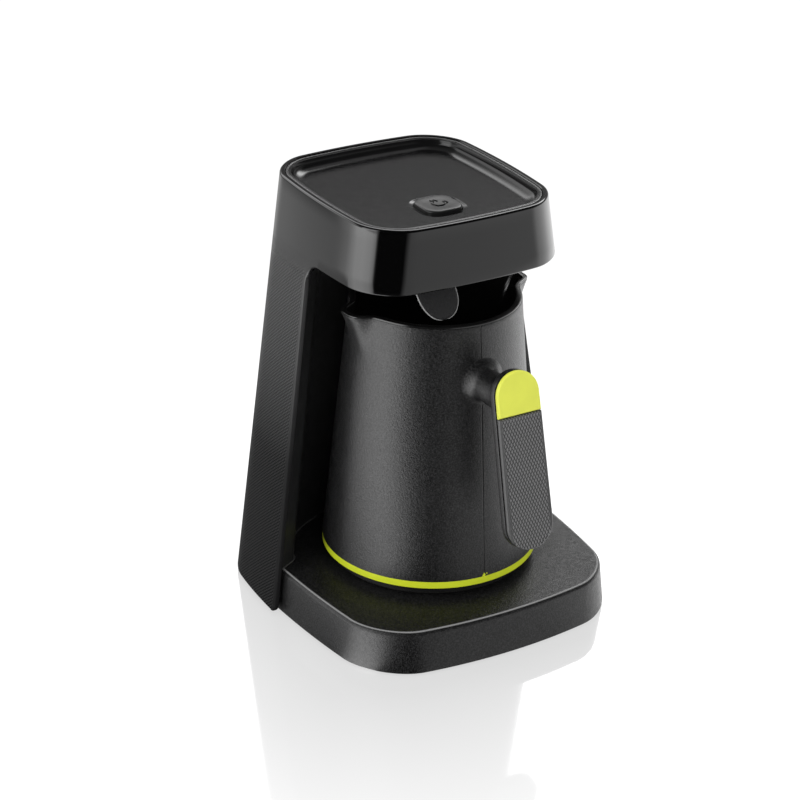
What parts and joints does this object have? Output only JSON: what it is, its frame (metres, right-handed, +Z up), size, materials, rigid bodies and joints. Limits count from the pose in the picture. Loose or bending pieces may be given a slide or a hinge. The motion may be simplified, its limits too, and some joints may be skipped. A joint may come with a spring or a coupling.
{
  "type": "electric turkish coffee maker",
  "caption": "Electric Turkish coffee maker: lift-off pot with a tall handle under an overhanging head with a start button and a foam-sensing flap.",
  "frame": {"origin": "on the table, under the axis of the pot at rest, which is also the centre of the footprint", "axes": "+Z up, -Y towards the user (the front, where the handle is), +X to the right of someone facing the front"},
  "size_m": [0.1684, 0.186, 0.2133],
  "materials": {
    "base_black": "fine-grained matt black moulding",
    "under_black": "matt black moulding",
    "rubber": "matt dark rubber",
    "steel": "plated steel",
    "brass": "bright contact metal",
    "gloss_black": "high-gloss black",
    "panel_mesh": "matt black with a fine diamond mesh",
    "head_black": "satin black",
    "trim_satin": "satin dark grey",
    "tray_satin": "satin black",
    "button_satin": "satin black cap with a pale cup mark",
    "flap_grey": "smoked grey",
    "flap_edge": "bright edge",
    "lens_red": "dark red lens",
    "board_green": "solder mask",
    "board_tan": "paper laminate",
    "component_black": "matt black",
    "component_cream": "cream plastic",
    "relay_blue": "blue plastic case",
    "winding_yellow": "yellow tape and film",
    "terminal_green": "green plastic",
    "fuse_glass": "glass tube with metal ends",
    "wire_red": "red insulation",
    "wire_blue": "blue insulation",
    "wire_sleeve": "glass-fibre sleeve",
    "pot_graphite": "matt graphite with a fine metallic grain",
    "vessel_black": "glossy black non-stick coat",
    "silicone": "red-brown silicone",
    "aluminium": "plain aluminium",
    "ceramic": "cream ceramic",
    "lime_ring": "lime green",
    "lime_cap": "lighter lime green",
    "core_black": "black",
    "grip_grey": "dark grey with a fine knurl"
  },
  "bodies": {
    "stand": {"base_housing": "base_black", "base_plate": "under_black", "contact_block": "under_black", "cord_gland": "under_black", "gland_nut": "under_black", "button_guide": "under_black", "rubber_feet": "rubber", "base_screws": "steel", "shell_screws": "steel", "ceiling_screws": "steel", "contact_screws": "steel", "control_board_screws": "steel", "power_board_screws": "steel", "flap_bracket_screws": "steel", "flap_pin": "steel", "contact_blades": "brass", "outer_shell": "gloss_black", "column_front_panel": "panel_mesh", "head_ceiling": "head_black", "flap_bracket": "head_black", "tray_trim": "trim_satin", "top_tray": "tray_satin", "control_board": "board_green", "power_board": "board_tan", "tact_switch": "component_black", "buzzer": "component_black", "microcontroller": "component_black", "smoothing_capacitors": "component_black", "board_connectors": "component_cream", "indicator_leds": "component_cream", "relay": "relay_blue", "transformer": "winding_yellow", "filter_capacitor": "winding_yellow", "terminal_block": "terminal_green", "fuse": "fuse_glass", "head_harness": "wire_red", "base_harness": "wire_blue"},
    "button": {"start_button": "button_satin", "switch_stem": "component_cream"},
    "flap": {"sensor_flap": "flap_grey", "flap_rim": "flap_edge", "sensor_lenses": "lens_red"},
    "pot": {"pot_shell": "pot_graphite", "pot_vessel": "vessel_black", "vessel_seal": "silicone", "heater_plate": "aluminium", "heating_element": "aluminium", "thermostat": "ceramic", "thermal_fuse": "steel", "pot_ring": "lime_ring", "pot_base_cover": "under_black", "pot_base_screws": "steel", "pot_contacts": "brass", "pot_wires": "wire_sleeve", "handle_frame": "pot_graphite", "handle_core": "core_black", "handle_grip": "grip_grey", "handle_cap": "lime_cap", "handle_screw": "steel"}
  },
  "joints": [
    {"name": "button_press", "type": "slide", "parent": "stand", "child": "button", "axis": [0, 0, -1], "range_m": [0, 0.0008], "stiffness_N_per_m": 400, "springref_m": -0.0006},
    {"name": "pot_slide", "type": "slide", "parent": "stand", "child": "pot", "axis": [0, -1, 0], "range_m": [0, 0.095]},
    {"name": "flap_hinge", "type": "hinge", "parent": "stand", "child": "flap", "pos_m": [0, 0.0145, 0.1781], "axis": [-1, 0, 0], "range_deg": [0, 48]}
  ],
  "couplings": [
    {"joint": "flap_hinge", "follows": "pot_slide", "rad_per_m": 8.727}
  ]
}
